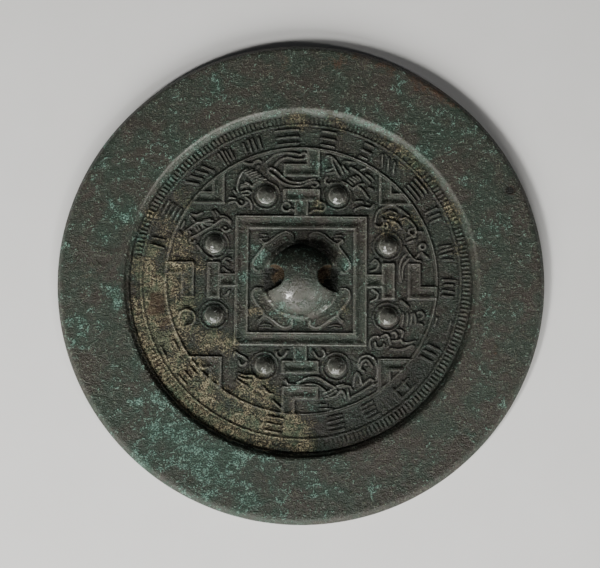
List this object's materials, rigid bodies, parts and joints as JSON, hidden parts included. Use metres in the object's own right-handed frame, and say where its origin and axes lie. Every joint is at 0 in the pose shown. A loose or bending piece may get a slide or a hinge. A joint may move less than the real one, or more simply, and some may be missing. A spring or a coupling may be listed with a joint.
{
  "type": "ancient bronze mirror",
  "caption": "Round cast bronze mirror lying on its polished face, its back with a broad plain rim, a pierced domed knob, a square frame and rows of raised figures.",
  "frame": {"origin": "middle of the polished face, where the mirror rests", "axes": "+Z out of the patterned back, the knob's cord hole along X"},
  "size_m": [0.18, 0.18, 0.0111],
  "materials": {
    "patinated_bronze": "dark weathered bronze with green corrosion and tan earth crust"
  },
  "bodies": {
    "root": {"mirror": "patinated_bronze"}
  },
  "joints": []
}
